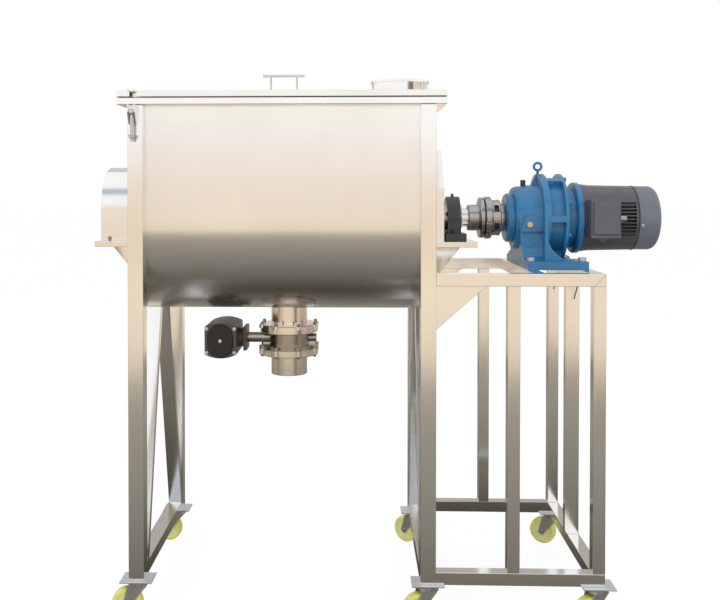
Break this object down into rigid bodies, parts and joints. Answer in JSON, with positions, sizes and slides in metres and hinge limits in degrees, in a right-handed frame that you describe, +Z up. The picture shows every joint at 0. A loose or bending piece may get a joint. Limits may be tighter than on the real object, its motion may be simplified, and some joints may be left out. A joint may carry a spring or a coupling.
{
  "type": "ribbon blender",
  "caption": "Horizontal U-trough ribbon blender on a wheeled tube frame, with a hinged lid, feed collar, bottom discharge valve and foot-mounted geared motor drive.",
  "frame": {"origin": "on the floor under the middle of the machine's box", "axes": "+X along the mixing shaft towards the motor, -Y the operator's side, +Z up"},
  "size_m": [1.934, 0.758, 1.778],
  "materials": {
    "stainless": "brushed satin stainless",
    "stainless_polished": "fine polished stainless",
    "machined_steel": "turned, oiled steel",
    "zinc_steel": "zinc plated",
    "reducer_paint": "semi-gloss enamel",
    "bearing_paint": "dark enamel on casting",
    "motor_paint": "satin enamel",
    "cover_paint": "satin enamel on sheet",
    "actuator_shell": "hard anodised",
    "cap_plastic": "moulded",
    "tyre_yellow": "polyurethane tread on a nylon core",
    "gasket_rubber": "white silicone"
  },
  "bodies": {
    "frame": {"trough_shell": "stainless", "end_plates": "stainless", "trough_rim": "stainless", "lid_gasket": "gasket_rubber", "hinge_brackets": "stainless_polished", "clamp_lug": "stainless_polished", "trough_legs": "stainless", "end_frames": "stainless", "drive_posts": "stainless", "drive_rails": "stainless", "frame_gussets": "stainless", "bearing_shelves": "stainless", "bearing_guard": "stainless", "seal_cover": "stainless", "shaft_seals": "machined_steel", "bearing_housings": "bearing_paint", "reducer_seal": "reducer_paint", "reducer_housing": "reducer_paint", "reducer_ring_case": "reducer_paint", "reducer_input_flange": "reducer_paint", "lifting_eye": "reducer_paint", "oil_fittings": "reducer_paint", "machine_bolts": "zinc_steel", "motor_case": "motor_paint", "terminal_box": "motor_paint", "fan_cover": "cover_paint", "outlet_pipe": "stainless", "valve_body": "stainless_polished", "valve_spout": "stainless_polished", "valve_bolts": "stainless_polished", "actuator_body": "actuator_shell", "actuator_caps": "cap_plastic", "caster_plates": "zinc_steel"},
    "lid": {"lid_panel": "stainless", "feed_collar": "stainless", "lid_handle": "stainless_polished", "lid_fittings": "stainless_polished"},
    "clamp": {"swing_bolt": "stainless_polished"},
    "agitator": {"main_shaft": "stainless_polished", "outer_ribbons": "stainless_polished", "inner_ribbons": "stainless_polished", "ribbon_arms": "stainless_polished", "bearing_inserts": "machined_steel", "coupling_driven": "machined_steel", "coupling_driver": "machined_steel", "output_shaft": "machined_steel"},
    "rotor": {"motor_fan": "cap_plastic"},
    "valve": {"valve_disc": "stainless_polished"},
    "swivel_front_left": {"fork_front_left": "zinc_steel"},
    "roller_front_left": {"wheel_front_left": "tyre_yellow"},
    "swivel_rear_left": {"fork_rear_left": "zinc_steel"},
    "roller_rear_left": {"wheel_rear_left": "tyre_yellow"},
    "swivel_front_right": {"fork_front_right": "zinc_steel"},
    "roller_front_right": {"wheel_front_right": "tyre_yellow"},
    "swivel_rear_right": {"fork_rear_right": "zinc_steel"},
    "roller_rear_right": {"wheel_rear_right": "tyre_yellow"},
    "swivel_front_drive": {"fork_front_drive": "zinc_steel"},
    "roller_front_drive": {"wheel_front_drive": "tyre_yellow"},
    "swivel_rear_drive": {"fork_rear_drive": "zinc_steel"},
    "roller_rear_drive": {"wheel_rear_drive": "tyre_yellow"}
  },
  "joints": [
    {"name": "lid_hinge", "type": "hinge", "parent": "frame", "child": "lid", "pos_m": [-0.322, 0.371, 1.6895], "axis": [-1, 0, 0], "range_deg": [0, 100]},
    {"name": "clamp_swing", "type": "hinge", "parent": "frame", "child": "clamp", "pos_m": [-0.797, -0.366, 1.641], "axis": [-1, 0, 0], "range_deg": [0, 180]},
    {"name": "agitator_turn", "type": "hinge", "parent": "frame", "child": "agitator", "pos_m": [-0.322, 0, 1.295], "axis": [1, 0, 0], "continuous": true},
    {"name": "rotor_turn", "type": "hinge", "parent": "frame", "child": "rotor", "pos_m": [0.885, 0, 1.295], "axis": [1, 0, 0], "continuous": true},
    {"name": "valve_turn", "type": "hinge", "parent": "frame", "child": "valve", "pos_m": [-0.322, 0, 0.865], "axis": [1, 0, 0], "range_deg": [0, 90]},
    {"name": "swivel_front_left_turn", "type": "hinge", "parent": "frame", "child": "swivel_front_left", "pos_m": [-0.792, -0.32, 0.13], "axis": [0, 0, 1], "continuous": true},
    {"name": "wheel_front_left_roll", "type": "hinge", "parent": "swivel_front_left", "child": "roller_front_left", "pos_m": [-0.826, -0.32, 0.05], "axis": [0, 1, 0], "continuous": true},
    {"name": "swivel_rear_left_turn", "type": "hinge", "parent": "frame", "child": "swivel_rear_left", "pos_m": [-0.792, 0.32, 0.13], "axis": [0, 0, 1], "continuous": true},
    {"name": "wheel_rear_left_roll", "type": "hinge", "parent": "swivel_rear_left", "child": "roller_rear_left", "pos_m": [-0.82548, 0.3259, 0.05], "axis": [0.1736, 0.9848, 0], "continuous": true},
    {"name": "swivel_front_right_turn", "type": "hinge", "parent": "frame", "child": "swivel_front_right", "pos_m": [0.148, -0.32, 0.13], "axis": [0, 0, 1], "continuous": true},
    {"name": "wheel_front_right_roll", "type": "hinge", "parent": "swivel_front_right", "child": "roller_front_right", "pos_m": [0.11605, -0.33163, 0.05], "axis": [-0.342, 0.9397, 0], "continuous": true},
    {"name": "swivel_rear_right_turn", "type": "hinge", "parent": "frame", "child": "swivel_rear_right", "pos_m": [0.148, 0.32, 0.13], "axis": [0, 0, 1], "continuous": true},
    {"name": "wheel_rear_right_roll", "type": "hinge", "parent": "swivel_rear_right", "child": "roller_rear_right", "pos_m": [0.12015, 0.3395, 0.05], "axis": [0.5736, 0.8192, 0], "continuous": true},
    {"name": "swivel_front_drive_turn", "type": "hinge", "parent": "frame", "child": "swivel_front_drive", "pos_m": [0.689, -0.325, 0.13], "axis": [0, 0, 1], "continuous": true},
    {"name": "wheel_front_drive_roll", "type": "hinge", "parent": "swivel_front_drive", "child": "roller_front_drive", "pos_m": [0.65819, -0.33937, 0.05], "axis": [-0.4226, 0.9063, 0], "continuous": true},
    {"name": "swivel_rear_drive_turn", "type": "hinge", "parent": "frame", "child": "swivel_rear_drive", "pos_m": [0.689, 0.325, 0.13], "axis": [0, 0, 1], "continuous": true},
    {"name": "wheel_rear_drive_roll", "type": "hinge", "parent": "swivel_rear_drive", "child": "roller_rear_drive", "pos_m": [0.65898, 0.34096, 0.05], "axis": [0.4695, 0.8829, 0], "continuous": true}
  ],
  "couplings": [
    {"joint": "rotor_turn", "follows": "agitator_turn", "ratio": -29}
  ]
}
